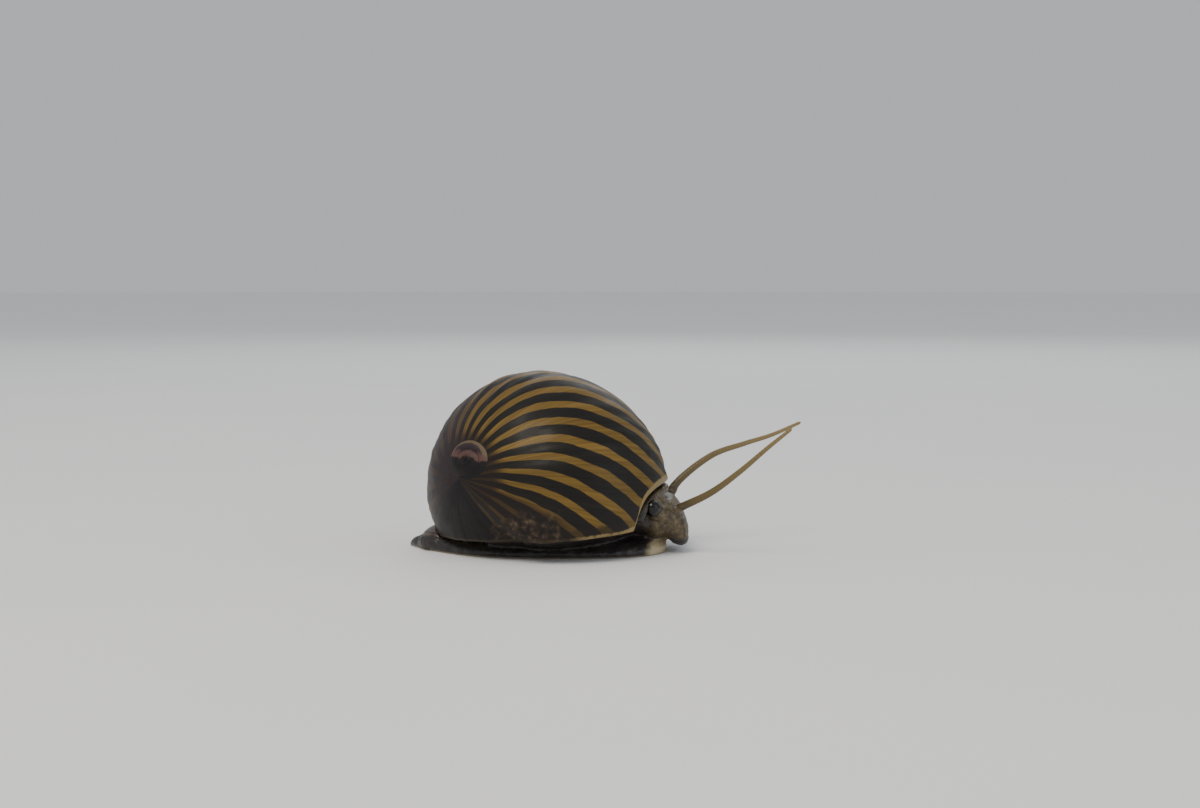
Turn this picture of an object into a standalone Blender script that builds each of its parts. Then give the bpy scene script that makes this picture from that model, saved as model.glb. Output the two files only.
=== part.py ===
"""A zebra nerite crawling to the right, life size: +X ahead, +Y to its left, +Z up, sole on Z = 0."""
import math

import bmesh
import bpy
from mathutils import Matrix, Vector

# Sizes are in millimetres, and each finished piece is brought to metres.
METRES = 0.001
GAP = 0.28

# The shell is one turn of a growing oval about its coil axis, which meets the surface at the apex.
APEX = Vector((-6.43, -6.00, 6.32))
AXIS_TURN = math.radians(43.4)
AXIS_RISE = math.radians(9.8)
WHORL_RADIUS = 10.35
APEX_DEPTH = 9.08
BASE_DEPTH = 10.88
OVAL_POWER = 0.94
GROWTH = 0.0676
LIP_TURN = math.radians(136.0)
LIP_CLOSE = math.radians(16.0)
BASE_SIZE = 0.90
BASE_BLEND = 0.45
SHELL_CENTRE = Vector((0.6, 0.5, 5.25))
SHELL_REACH = 9.5
WALL = 0.60

# The shell's rim is a flat cut that rises a little to the front and left, with an arch over the head.
RIM_LEVEL = 1.92
RIM_SLOPE = math.radians(4.2)
RIM_ROLL = math.radians(1.7)
MIDLINE = -0.20
ARCH_HALF = 6.40
ARCH_TOP = 5.70
ARCH_POWER = 3.0
ARCH_START = 5.0
FAR = 40.0

# The flat deck closes the back left of the mouth, up to a straight edge along the coil axis.
DECK_THICK = 0.60
DECK_EDGE = Vector((0.3, 1.0, 0.0))

SPIRE_CENTRE = Vector((-4.46, -5.05, 7.10))
SPIRE_SIZE = 0.235
SPIRE_SEAT = 0.35

# Half widths of the foot follow one power curve behind its widest place and another ahead of it.
FOOT_TIP = -11.0
FOOT_WIDEST = 1.8
FOOT_FRONT = 9.7
FOOT_HALF = 5.7
FOOT_HEIGHT = 1.60
FOOT_EDGE = 0.65
SOLE_INSET = 0.26
EDGE_BULGE = 0.55
EDGE_SHARE = 0.6
TAIL_FULLNESS = 1.15
BACK_POWER = 0.55
END_TRIM = 0.02
TAIL_POWER = 2.2
TAIL_BLUNTNESS = 0.75
FRONT_POWER = 2.6
TAIL_BEND = 2.2
BEND_START = -4.0
TAIL_CUT = -4.0
FRONT_CUT = 4.4
NECK_START = 6.7
HEAD_CUT = 8.6
SNOUT_CUT = 10.1

# Neck, head and snout: x, half width, low and high at each station, and the cleft between the lips.
HEAD_STATIONS = [(6.7, 3.9, 2.15, 4.40), (8.0, 4.0, 1.85, 4.60), (9.2, 3.95, 1.50, 4.65),
                 (10.1, 3.6, 0.70, 4.50), (10.75, 3.3, 0.40, 3.85), (11.2, 2.85, 0.45, 2.95),
                 (11.42, 2.2, 0.75, 2.25)]
HEAD_POWER = 2.4
CLEFT_DEPTH = 0.55
CLEFT_HALF = 0.9
CLEFT_START = 9.6
CLEFT_LOW = 1.7
CLEFT_HIGH = 4.6

# The operculum lies on a swelling of the tail, tucked against the back of the shell.
LOBE_MIDDLE = Vector((-7.5, 0.4, 0.3))
LOBE_HALF = Vector((2.70, 2.6, 1.80))
OPERCULUM_MARGIN = 0.40
OPERCULUM_THICK = 0.50
OPERCULUM_SIDES = 28

MANTLE_THICK = 0.75
MANTLE_PROUD = 0.3

EYE_RADIUS = 0.62
EYE_PLACE = Vector((8.50, -4.90, 3.85))
EYE_ROOT = Vector((9.13, -3.31, 3.23))
STALK_RADIUS = 0.86
STALK_TAPER = 0.15

# Tentacles run through these places, thick at the head and thin at the tip.
TENTACLE_RIGHT = [(9.75, -2.75, 3.20), (10.9, -3.2, 3.80), (13.1, -4.0, 5.00), (15.3, -4.8, 6.75),
                  (17.3, -5.6, 8.60), (19.1, -6.2, 10.15)]
TENTACLE_LEFT = [(9.75, 2.35, 3.40), (10.8, 2.9, 5.15), (13.5, 4.0, 7.10), (16.2, 5.2, 7.95),
                 (18.6, 6.2, 8.60), (21.1, 7.0, 9.60)]
TENTACLE_ROOT_RADIUS = 0.40
TENTACLE_TIP_RADIUS = 0.27
TENTACLE_LENGTHS = ("base", "middle", "tip")

AXIS = Vector((-math.sin(AXIS_TURN) * math.cos(AXIS_RISE),
               -math.cos(AXIS_TURN) * math.cos(AXIS_RISE), math.sin(AXIS_RISE)))
UP = (Vector((0, 0, 1)) - AXIS.z * AXIS).normalized()
NEAR = UP.cross(AXIS)


def clear_scene():
    for thing in list(bpy.data.objects):
        bpy.data.objects.remove(thing)


def finish(name, hex_colour, roughness):
    """A plain material of an sRGB colour."""
    channels = [int(hex_colour[i:i + 2], 16) / 255 for i in (1, 3, 5)]
    made = bpy.data.materials.new(name)
    made.use_nodes = True
    shader = made.node_tree.nodes["Principled BSDF"]
    shader.inputs["Base Color"].default_value = [*(c ** 2.2 for c in channels), 1]
    shader.inputs["Roughness"].default_value = roughness
    shader.inputs["Metallic"].default_value = 0.0
    return made


def solid(name, points, faces):
    """An object from points and faces, with doubles merged and faces turned outwards."""
    mesh = bpy.data.meshes.new(name)
    mesh.from_pydata(points, [], faces)
    shape = bmesh.new()
    shape.from_mesh(mesh)
    bmesh.ops.remove_doubles(shape, verts=shape.verts, dist=0.01)
    bmesh.ops.recalc_face_normals(shape, faces=shape.faces)
    shape.to_mesh(mesh)
    shape.free()
    made = bpy.data.objects.new(name, mesh)
    bpy.context.collection.objects.link(made)
    return made


def rings_to_solid(name, rings):
    """Joins rings of equal count in order and closes the two ends."""
    count = len(rings[0])
    points = [p for ring in rings for p in ring]
    faces = []
    for i in range(len(rings) - 1):
        for j in range(count):
            k = (j + 1) % count
            faces.append((i * count + j, i * count + k, (i + 1) * count + k, (i + 1) * count + j))
    last = (len(rings) - 1) * count
    faces.append(tuple(range(count)))
    faces.append(tuple(range(last, last + count)))
    return solid(name, points, faces)


def combine(target, operation, *others):
    """Cuts, joins or intersects the target with the others, which are used up."""
    for other in others:
        step = target.modifiers.new(operation.lower(), "BOOLEAN")
        step.operation = operation
        step.solver = "EXACT"
        step.object = other
        graph = bpy.context.evaluated_depsgraph_get()
        mesh = bpy.data.meshes.new_from_object(target.evaluated_get(graph))
        target.modifiers.clear()
        target.data = mesh
        bpy.data.objects.remove(other)
    return target


def node(name, piece, material, angle=40):
    """Names a finished piece, gives it its material and shades it smooth."""
    piece.name = name
    piece.data.name = name
    piece.data.transform(Matrix.Scale(METRES, 4))
    piece.data.materials.clear()
    piece.data.materials.append(material)
    piece.data.shade_smooth()
    piece.data.set_sharp_from_angle(angle=math.radians(angle))
    return piece


def block(low, high):
    """A box between two corners."""
    points = [(x, y, z) for x in (low[0], high[0]) for y in (low[1], high[1]) for z in (low[2], high[2])]
    faces = [(0, 1, 3, 2), (4, 6, 7, 5), (0, 4, 5, 1), (2, 3, 7, 6), (0, 2, 6, 4), (1, 5, 7, 3)]
    return solid("block", points, faces)


def upright_slab(x_low, x_high):
    """All space between two upright planes across the body."""
    return block((x_low, -FAR, -FAR), (x_high, FAR, FAR))


def rim_slab(low, high):
    """All space between two heights above the plane of the rim."""
    made = block((-FAR, -FAR, low), (FAR, FAR, high))
    made.data.transform(Matrix.Translation((0, 0, RIM_LEVEL)) @ Matrix.Rotation(-RIM_SLOPE, 4, "Y")
                        @ Matrix.Rotation(RIM_ROLL, 4, "X"))
    return made


def deck_side(offset):
    """All space on the deck's side of its straight edge, moved by an offset towards the mouth."""
    made = block((-FAR, -FAR, -FAR), (offset, FAR, FAR))
    made.data.transform(Matrix.Translation(DECK_EDGE) @ Matrix.Rotation(-AXIS_TURN, 4, "Z"))
    return made


def rounded(value, power):
    """Squares off the sine or cosine of a round section."""
    return math.copysign(abs(value) ** (2 / power), value)


def smooth_step(start, end, value):
    share = min(1.0, max(0.0, (value - start) / (end - start)))
    return share * share * (3 - 2 * share)


def along(rows, share):
    """A smooth curve through rows of numbers, read at a share from 0 to 1."""
    place = share * (len(rows) - 1)
    i = min(int(place), len(rows) - 2)
    t = place - i
    a, b, c, d = (rows[max(0, min(len(rows) - 1, i + k))] for k in (-1, 0, 1, 2))
    return [0.5 * (2 * q + (r - p) * t + (2 * p - 5 * q + 4 * r - s) * t ** 2
                   + (3 * q - p - 3 * r + s) * t ** 3) for p, q, r, s in zip(a, b, c, d)]


def whorl_point(turn, latitude):
    """A point of the whorl, by growth angle from straight up and latitude from base to apex."""
    rise = math.sin(latitude)
    one_turn = 1 - math.exp(-2 * math.pi * GROWTH)
    size = math.exp(GROWTH * (turn - math.pi / 2))
    size *= 1 - one_turn * smooth_step(LIP_TURN - LIP_CLOSE, LIP_TURN, turn)
    size += (BASE_SIZE - size) * smooth_step(-BASE_BLEND, -1.0, rise)
    depth = APEX_DEPTH if rise > 0 else BASE_DEPTH
    out = size * WHORL_RADIUS * abs(math.cos(latitude)) ** OVAL_POWER
    outward = math.cos(turn) * UP + math.sin(turn) * NEAR
    return APEX + out * outward + size * (depth * rise - APEX_DEPTH) * AXIS


def whorl(grow=0.0, turns=40, rows=18):
    """One turn of the whorl, closed on itself, grown or shrunk about the shell's centre."""
    scale = 1 + grow / SHELL_REACH
    columns = []
    for i in range(turns):
        turn = LIP_TURN - 2 * math.pi * i / turns
        columns.append([whorl_point(turn, math.pi * (0.5 - j / rows)) for j in range(rows + 1)])
    points = [SHELL_CENTRE + (p - SHELL_CENTRE) * scale for column in columns for p in column]
    step = rows + 1
    faces = []
    for i in range(turns):
        a, b = i * step, (i + 1) % turns * step
        faces += [(a + j, a + j + 1, b + j + 1, b + j) for j in range(rows)]
    return solid("whorl", points, faces)


def arch(inset, start, sides=20):
    """The squarish arched opening over the head, as a solid that runs ahead from its start."""
    half = ARCH_HALF - inset
    rise = ARCH_TOP - inset - RIM_LEVEL
    outline = [(MIDLINE - half, -FAR)]
    for i in range(sides + 1):
        angle = math.pi * (1 - i / sides)
        outline.append((MIDLINE + half * rounded(math.cos(angle), ARCH_POWER),
                        RIM_LEVEL + rise * rounded(math.sin(angle), ARCH_POWER)))
    outline.append((MIDLINE + half, -FAR))
    return rings_to_solid("arch", [[(x, y, z) for y, z in outline] for x in (start, FAR)])


def body_whorl(material):
    """The wall of the last whorl, open below and arched over the head."""
    shell = whorl()
    combine(shell, "DIFFERENCE", whorl(grow=-WALL), rim_slab(-FAR, 0), arch(0, ARCH_START),
            spire_shape(GAP))
    node("shell_body_whorl", shell, material)


def spire_shape(grow=0.0):
    """The old whorls at the apex: a small copy of the coil, a little proud of the last whorl."""
    made = whorl(turns=24, rows=12)
    size = SPIRE_SIZE + grow / WHORL_RADIUS
    made.data.transform(Matrix.Translation(SPIRE_CENTRE) @ Matrix.Scale(size, 4)
                        @ Matrix.Translation(-SHELL_CENTRE))
    return combine(made, "DIFFERENCE", whorl(grow=GAP - grow - SPIRE_SEAT))


def deck(material):
    """The flat shelf across the back left of the mouth."""
    shelf = whorl(grow=-WALL - GAP)
    combine(shelf, "INTERSECT", rim_slab(0, DECK_THICK), deck_side(0))
    node("shell_deck", shelf, material)


def trunk(material):
    """The soft body that fills the shell above the deck and down to the mouth."""
    body = whorl(grow=-WALL - GAP, turns=36, rows=16)
    over_deck = rim_slab(-FAR, DECK_THICK + GAP)
    combine(over_deck, "INTERSECT", deck_side(GAP))
    combine(body, "DIFFERENCE", rim_slab(-FAR, 0), over_deck, upright_slab(NECK_START, FAR))
    node("trunk", body, material)


def foot_half(x):
    """Half the foot's width at a place along it."""
    if x < FOOT_WIDEST:
        share = (FOOT_WIDEST - x) / (FOOT_WIDEST - FOOT_TIP)
        return FOOT_HALF * (1 - share ** TAIL_POWER) ** TAIL_BLUNTNESS
    share = (x - FOOT_WIDEST) / (FOOT_FRONT - FOOT_WIDEST)
    return FOOT_HALF * (1 - share ** FRONT_POWER) ** (1 / FRONT_POWER)


def foot_middle(x):
    """The foot's own midline, which bends to the left along the tail."""
    return MIDLINE + TAIL_BEND * max(0.0, (BEND_START - x) / (BEND_START - FOOT_TIP)) ** 2


def foot_whole(rings=34, sides=9):
    """The whole foot: a flat sole with a thin rounded edge and a low arched back."""
    made = []
    for i in range(rings + 1):
        share = 0.5 - 0.5 * math.cos(math.pi * (END_TRIM + (1 - 2 * END_TRIM) * i / rings))
        x = FOOT_TIP + (FOOT_FRONT - FOOT_TIP) * share
        half = foot_half(x)
        height = FOOT_HEIGHT * min(1.0, TAIL_FULLNESS * math.sqrt(half / FOOT_HALF))
        edge = EDGE_BULGE * min(FOOT_EDGE, height * EDGE_SHARE)
        inset = SOLE_INSET * edge / (EDGE_BULGE * FOOT_EDGE)
        middle = foot_middle(x)
        ring = [(x, middle - half + inset, 0), (x, middle + half - inset, 0)]
        for j in range(sides + 1):
            side = math.cos(math.pi * j / sides)
            back = (1 - side ** 2) ** BACK_POWER
            ring.append((x, middle + half * side, edge + (height - edge) * back))
        made.append(ring)
    return rings_to_solid("foot", made)


def lobe(grow=0.0):
    """The swelling of the tail behind the shell."""
    made = ball(Vector(), 1.0, segments=20, rings=12)
    size = Matrix.Diagonal([*(half + grow for half in LOBE_HALF), 1])
    made.data.transform(Matrix.Translation(LOBE_MIDDLE) @ size)
    return made


def shell_clearance():
    """The space of the shell and all in it, with a gap round it and under its rim."""
    return combine(whorl(grow=GAP), "DIFFERENCE", rim_slab(-FAR, -GAP))


def foot(material):
    """The foot in three lengths, clear of the shell above it and of the operculum on its tail."""
    cuts = {"foot_tail": (-FAR, TAIL_CUT - GAP / 2),
            "foot_middle": (TAIL_CUT + GAP / 2, FRONT_CUT - GAP / 2),
            "foot_front": (FRONT_CUT + GAP / 2, FAR)}
    for name, (low, high) in cuts.items():
        length = combine(foot_whole(), "INTERSECT", upright_slab(low, high))
        if name == "foot_tail":
            low = block((-FAR, -FAR, -FAR), (FAR, FAR, FOOT_EDGE / 2))
            combine(length, "UNION", combine(lobe(), "DIFFERENCE", low))
            combine(length, "DIFFERENCE", operculum_column(GAP))
        node(name, combine(length, "DIFFERENCE", shell_clearance()), material)


def operculum_column(grow=0.0):
    """All space above the underside of the operculum and within its round outline."""
    half_x, half_y = (half - OPERCULUM_MARGIN + grow for half in (LOBE_HALF.x, LOBE_HALF.y))
    angles = [2 * math.pi * i / OPERCULUM_SIDES for i in range(OPERCULUM_SIDES)]
    outline = [(LOBE_MIDDLE.x + half_x * math.cos(a), LOBE_MIDDLE.y + half_y * math.sin(a))
               for a in angles]
    column = rings_to_solid("operculum", [[(x, y, z) for x, y in outline] for z in (FOOT_EDGE, FAR)])
    return combine(column, "DIFFERENCE", lobe(-OPERCULUM_THICK - grow))


def operculum(material):
    """A cap of the tail's swelling: a thin curved lid with a round back edge."""
    lid = combine(operculum_column(), "INTERSECT", lobe())
    node("operculum", combine(lid, "DIFFERENCE", shell_clearance()), material)


def head_whole(rings=26, sides=20):
    """Neck, head and snout in one loft, with a shallow cleft down the front."""
    made = []
    for i in range(rings + 1):
        x, half, low, high = along(HEAD_STATIONS, i / rings)
        ring = []
        for j in range(sides):
            angle = 2 * math.pi * (j + 0.5) / sides
            y = half * rounded(math.cos(angle), HEAD_POWER)
            z = (low + high) / 2 + (high - low) / 2 * rounded(math.sin(angle), HEAD_POWER)
            cleft = CLEFT_DEPTH * math.exp(-(y / CLEFT_HALF) ** 2) * smooth_step(CLEFT_HIGH, CLEFT_LOW, z)
            cleft *= smooth_step(CLEFT_START, HEAD_STATIONS[-1][0], x)
            ring.append((x - cleft, MIDLINE + y, z))
        made.append(ring)
    return rings_to_solid("head", made)


def head(material):
    """Neck, head and snout, parted across the body, with seats for the eye stalks and tentacles."""
    cuts = {"neck": (NECK_START + GAP, HEAD_CUT - GAP / 2),
            "head": (HEAD_CUT + GAP / 2, SNOUT_CUT - GAP / 2), "snout": (SNOUT_CUT + GAP / 2, FAR)}
    for name, (low, high) in cuts.items():
        length = head_whole()
        combine(length, "INTERSECT", upright_slab(low, high), arch(2 * GAP + MANTLE_THICK, 0))
        combine(length, "DIFFERENCE", foot_clearance())
        if name != "snout":
            combine(length, "DIFFERENCE", stalk_shape(1, GAP), stalk_shape(-1, GAP))
        if name != "neck":
            for places in (TENTACLE_RIGHT, TENTACLE_LEFT):
                combine(length, "DIFFERENCE", tentacle_shape(places, GAP))
        node(name, length, material)


def foot_clearance():
    """The space of the foot and a gap above it, under the head."""
    made = foot_whole()
    middle = Vector((0, MIDLINE, 0))
    wider = Matrix.Diagonal((1 + GAP / FOOT_FRONT, 1 + GAP / FOOT_HALF, 1.0, 1.0))
    lifted = Matrix.Translation(middle + Vector((0, 0, GAP)))
    made.data.transform(lifted @ wider @ Matrix.Translation(-middle))
    return made


def tube(points, radii, sides=10):
    """A round tube through points, closed by flat ends."""
    rings = []
    across = Vector((0, 1, 0))
    for i, (point, radius) in enumerate(zip(points, radii)):
        ahead = (points[min(i + 1, len(points) - 1)] - points[max(i - 1, 0)]).normalized()
        across = (across - across.dot(ahead) * ahead).normalized()
        lift = ahead.cross(across)
        ring = [point + radius * (math.cos(a) * across + math.sin(a) * lift)
                for a in (2 * math.pi * j / sides for j in range(sides))]
        rings.append(ring)
    return rings_to_solid("tube", rings)


def tentacle_shape(places, grow=0.0, start=0.0, end=1.0, steps=16):
    """A length of one tentacle, between two shares of its run."""
    points, radii = [], []
    for i in range(steps + 1):
        share = start + (end - start) * i / steps
        points.append(Vector(along(places, share)))
        radii.append(TENTACLE_ROOT_RADIUS + (TENTACLE_TIP_RADIUS - TENTACLE_ROOT_RADIUS) * share + grow)
    return tube(points, radii)


def tentacles(material):
    """Two feelers, each in three lengths with thin cuts between them."""
    for side, places in (("right", TENTACLE_RIGHT), ("left", TENTACLE_LEFT)):
        run = sum((Vector(b) - Vector(a)).length for a, b in zip(places, places[1:]))
        part = GAP / run
        for i, length in enumerate(TENTACLE_LENGTHS):
            start = i / len(TENTACLE_LENGTHS) + (part / 2 if i else 0)
            end = (i + 1) / len(TENTACLE_LENGTHS) - (part / 2 if i < len(TENTACLE_LENGTHS) - 1 else 0)
            piece = tentacle_shape(places, 0.0, start, end, steps=6)
            node(f"tentacle_{side}_{length}", piece, material)


def mirrored(place, side):
    """A place on the right of the head, or its mirror on the left."""
    return Vector((place.x, MIDLINE + side * (MIDLINE - place.y), place.z))


def ball(centre, radius, segments=12, rings=8):
    shape = bmesh.new()
    bmesh.ops.create_uvsphere(shape, u_segments=segments, v_segments=rings, radius=radius)
    mesh = bpy.data.meshes.new("ball")
    shape.to_mesh(mesh)
    shape.free()
    mesh.transform(Matrix.Translation(centre))
    made = bpy.data.objects.new("ball", mesh)
    bpy.context.collection.objects.link(made)
    return made


def stalk_shape(side, grow=0.0):
    """The short stalk that carries an eye, from inside the head out to a rounded end."""
    root, end = mirrored(EYE_ROOT, side), mirrored(EYE_PLACE, side)
    steps = 6
    points = [root.lerp(end, i / steps) for i in range(steps + 1)]
    radii = [STALK_RADIUS * (1 - STALK_TAPER * (i / steps) ** 2) + grow for i in range(steps + 1)]
    return tube(points, radii, sides=12)


def eyes(skin, eye):
    """An eye on its stalk at each side of the head."""
    for side, word in ((-1, "right"), (1, "left")):
        stalk = stalk_shape(side)
        place = mirrored(EYE_PLACE, side)
        combine(stalk, "DIFFERENCE", ball(place, EYE_RADIUS + GAP / 2))
        node(f"eye_stalk_{word}", stalk, skin)
        node(f"eye_{word}", ball(place, EYE_RADIUS), eye)


def mantle(material):
    """The soft edge of the mantle, an arch under the shell's lip that leaves room for the eyes."""
    band = combine(arch(GAP, NECK_START + GAP), "DIFFERENCE", arch(GAP + MANTLE_THICK, 0))
    for side in (-1, 1):
        eye_room = ball(mirrored(EYE_PLACE, side), EYE_RADIUS + GAP)
        combine(band, "DIFFERENCE", combine(stalk_shape(side, GAP), "UNION", eye_room))
    combine(band, "INTERSECT", whorl(grow=MANTLE_PROUD))
    node("mantle_edge", combine(band, "DIFFERENCE", rim_slab(-FAR, GAP)), material)


clear_scene()
shell_finish = finish("striped_shell", "#6f5a2c", 0.30)
spire_finish = finish("worn_spire", "#8a6f5c", 0.60)
deck_finish = finish("shell_callus", "#c9bfa6", 0.25)
operculum_finish = finish("operculum", "#3a2f2a", 0.45)
skin_finish = finish("black_skin", "#1c1a1e", 0.35)
mantle_finish = finish("mantle", "#2b2622", 0.35)
tentacle_finish = finish("tentacle", "#6b5a2e", 0.35)
eye_finish = finish("eye", "#08080a", 0.08)
body_whorl(shell_finish)
node("shell_spire", spire_shape(), spire_finish)
deck(deck_finish)
trunk(skin_finish)
foot(skin_finish)
operculum(operculum_finish)
head(skin_finish)
mantle(mantle_finish)
tentacles(tentacle_finish)
eyes(skin_finish, eye_finish)
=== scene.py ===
"""Looks of a crawling zebra nerite: striped shell, worn spire, black body, lid, eyes and feelers."""

import math
from functools import partial

import bmesh
import bpy
import numpy as np
from mathutils import Matrix, Vector


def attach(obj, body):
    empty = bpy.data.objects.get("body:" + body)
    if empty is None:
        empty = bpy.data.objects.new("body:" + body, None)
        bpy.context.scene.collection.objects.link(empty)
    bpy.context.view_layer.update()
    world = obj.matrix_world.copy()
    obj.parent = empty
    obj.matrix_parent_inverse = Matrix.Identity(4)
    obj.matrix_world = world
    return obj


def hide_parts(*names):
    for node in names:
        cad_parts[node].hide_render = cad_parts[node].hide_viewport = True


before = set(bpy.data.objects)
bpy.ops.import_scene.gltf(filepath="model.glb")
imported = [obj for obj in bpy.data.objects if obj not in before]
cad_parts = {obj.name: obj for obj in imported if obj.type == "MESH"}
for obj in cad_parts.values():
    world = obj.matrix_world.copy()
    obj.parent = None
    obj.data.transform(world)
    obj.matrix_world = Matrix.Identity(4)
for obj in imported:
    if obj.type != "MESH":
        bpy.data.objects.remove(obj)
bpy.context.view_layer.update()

# All is modelled in millimetres, in the frame of the CAD part, and brought to metres at the end.
MM = 0.001
TWO_PI = 2 * math.pi
HALVINGS = 24
MERGE = 0.001

# The shell is one turn of a growing oval about its coil axis, which meets the surface at the apex.
APEX = np.array([-6.43, -6.00, 6.32])
AXIS_TURN = math.radians(43.4)
AXIS_RISE = math.radians(9.8)
WHORL_RADIUS = 10.35
APEX_DEPTH = 9.08
BASE_DEPTH = 10.88
OVAL_POWER = 0.94
GROWTH = 0.0676
LIP_TURN = math.radians(136.0)
LIP_CLOSE = math.radians(16.0)
BASE_SIZE = 0.90
BASE_BLEND = 0.45
AXIS = np.array([-math.sin(AXIS_TURN) * math.cos(AXIS_RISE),
                 -math.cos(AXIS_TURN) * math.cos(AXIS_RISE), math.sin(AXIS_RISE)])
UP = np.array([0, 0, 1]) - AXIS[2] * AXIS
UP /= np.linalg.norm(UP)
NEAR = np.cross(UP, AXIS)
ACROSS = np.array([math.cos(AXIS_TURN), -math.sin(AXIS_TURN)])

# The rim is a flat cut that rises a little to the front and left, with a squarish arch over the head.
RIM_LEVEL = 1.92
RIM_SLOPE = math.radians(4.2)
RIM_ROLL = math.radians(1.7)
MIDLINE = -0.20
ARCH_HALF = 6.40
ARCH_TOP = 5.70
ARCH_POWER = 3.0
ARCH_START = 5.0

# The shell's mesh is a fan of rays from a point in the mouth, with a rounded lip and an inner wall.
SHELL_MIDDLE = np.array([0.5, 0.3, 2.05])
SHELL_AROUND = 300
SHELL_ROWS = 96
SHELL_REACH = 25.0
LOWEST_RAY = -0.6
RIM_LIFT = 0.20
WALL = 0.50
LIP_STEPS = 6

# Growth relief: depth, count a radian and waver of the coarse and fine ridges, and depth of the dents.
COARSE_RIDGES = (0.035, 15.0, 2.0, 4.3)
FINE_RIDGES = (0.02, 37.0, 3.0, 6.0)
DENT_DEPTH = 0.05
RELIEF_FADE = 0.3

# Stripes are lines of one growth phase, which runs ahead of the growth angle towards the apex.
STRIPE_LEAN = 0.5048
STRIPE_BEND = -0.0469
STRIPE_COUNT = (0.2948, 3.9917, -1.0203)

# Growth lines and broad bands, by growth angle and latitude, and the brown patch on the near side.
LINE_SCALE = (48.0, 1.6, 1.0)
BAND_SCALE = (7.0, 0.8, 1.0)
PATCH_PLACE = (-1.2, -8.7, 2.5)
PATCH_SCALE = (0.30, 0.30, 0.52)

# The worn spire is a low coiled knob that follows the whorl.
SPIRE_RADIUS = 1.85
SPIRE_WIDER = 1.38
SPIRE_HEIGHT = 0.36
SPIRE_PLACE = np.array([-5.95, -6.20, 7.85])
SPIRE_RATIO = 0.42
SPIRE_GRID = (48, 120)
SPIRE_LEAN = 3.0
SPIRE_GROOVE = 0.14
SPIRE_SUNK = 0.12
SPIRE_ROOT = 0.6

# The shelf in the mouth: a straight edge, and a rounded rim that keeps clear of the wall.
DECK_EDGE = np.array([0.3, 1.0])
DECK_BACK = 3.6
DECK_THICK = 0.60
DECK_CLEAR = 0.28
DECK_GRID = (30, 180)
DECK_CORNER = 4.0
DECK_SWELL = 0.35
PLATE_ROUND = (0.6, 0.35)

# The foot, its tail and the swelling that carries the lid, as in the CAD part.
FOOT_TIP = -11.0
FOOT_WIDEST = 1.8
FOOT_FRONT = 9.7
FOOT_HALF = 5.7
FOOT_HEIGHT = 1.60
FOOT_EDGE = 0.65
TAIL_POWER = 2.2
TAIL_BLUNTNESS = 0.75
FRONT_POWER = 2.6
TAIL_BEND = 2.2
BEND_START = -4.0
LOBE_MIDDLE = np.array([-7.5, 0.4, 0.3])
LOBE_HALF = np.array([2.70, 2.6, 1.80])
LID_HALF = LOBE_HALF[:2] - 0.40
LID_THICK = 0.40
LID_SUNK = 0.25
LID_GRID = (26, 120)
FOOT_GRID = (150, 54)
RIPPLE_DEPTH = 0.07
PRESS_GAP = 0.15
PRESS_SLOPE = 4.0

# The flesh in the mouth: low rings on a level and at a share of the way to the wall, then a low dome.
TRUNK_AROUND = 90
TRUNK_LOW = ((0.75, 0.58), (1.0, 0.67), (1.3, 0.75), (1.6, 0.81))
TRUNK_RINGS = 25
TRUNK_SHARE = 0.86
TRUNK_HEIGHT = 0.76
TRUNK_CLEAR = 0.4
TRUNK_FRONT = 7.3

# Neck, head and snout: x, half width, low and high at each station.
HEAD_STATIONS = [(6.7, 3.9, 2.15, 4.40), (8.0, 4.0, 1.85, 4.60), (9.2, 3.95, 1.50, 4.65),
                 (10.1, 3.6, 0.70, 4.50), (10.75, 3.3, 0.40, 3.85), (11.2, 2.85, 0.45, 2.95),
                 (11.42, 2.2, 0.75, 2.25)]
HEAD_POWER = 2.4
HEAD_GRID = (110, 96)
NECK_DROP = 0.75
CLEFT_DEPTH = 0.55
CLEFT_HALF = 0.8
HEAD_CLEAR = 1.3
MANTLE_INSET = 0.65
MANTLE_HALF = 0.34
MANTLE_SPAN = 0.94
MANTLE_GRID = (110, 28)
MANTLE_BACK = 7.0

EYE_RADIUS = 0.62
EYE_PLACE = (8.50, -4.90, 3.85)
EYE_ROOT = (9.13, -3.31, 3.23)
EYE_GROWN = 1.04
LENS_GROWN = 0.12
EYE_OUT = 0.06
STALK_RADIUS = 0.84
STALK_SUNK = 0.4
STALK_SEEN = 0.93
STALK_FLARE = 1.15
STALK_TAPER = 0.42
COLLAR = 0.05
CHEEK_PLACE = (8.9, -3.3, 4.2)
CHEEK_HALF = (0.75, 1.0, 0.5)
NAPE_PLACE = (8.6, MIDLINE, 4.45)
NAPE_HALF = (0.75, 3.2, 0.40)

FEELER_RIGHT = [(9.75, -2.75, 3.20), (10.9, -3.2, 3.80), (13.1, -4.0, 5.00), (15.3, -4.8, 6.75),
                (17.3, -5.6, 8.60), (19.1, -6.2, 10.15)]
FEELER_LEFT = [(9.75, 2.35, 3.40), (10.8, 2.9, 5.15), (13.5, 4.0, 7.10), (16.2, 5.2, 7.95),
               (18.6, 6.2, 8.60), (21.1, 7.0, 9.60)]
FEELER_ROOT_RADIUS = 0.33
FEELER_TIP_RADIUS = 0.13
FEELER_START = 0.10
FEELER_RING = 0.30
STUB_STEPS = 26
STUB_RADIUS = 0.60

# The flesh is fused in small voxels, eased, and creased like wet skin.
VOXEL = 0.12
EASE = 0.5
EASE_TIMES = 5
FLOOR_SNAP = 0.05
CREASES = {"Crease depth": 0.05, "Crease spacing": 0.55, "Swell": 0.16}

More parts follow.
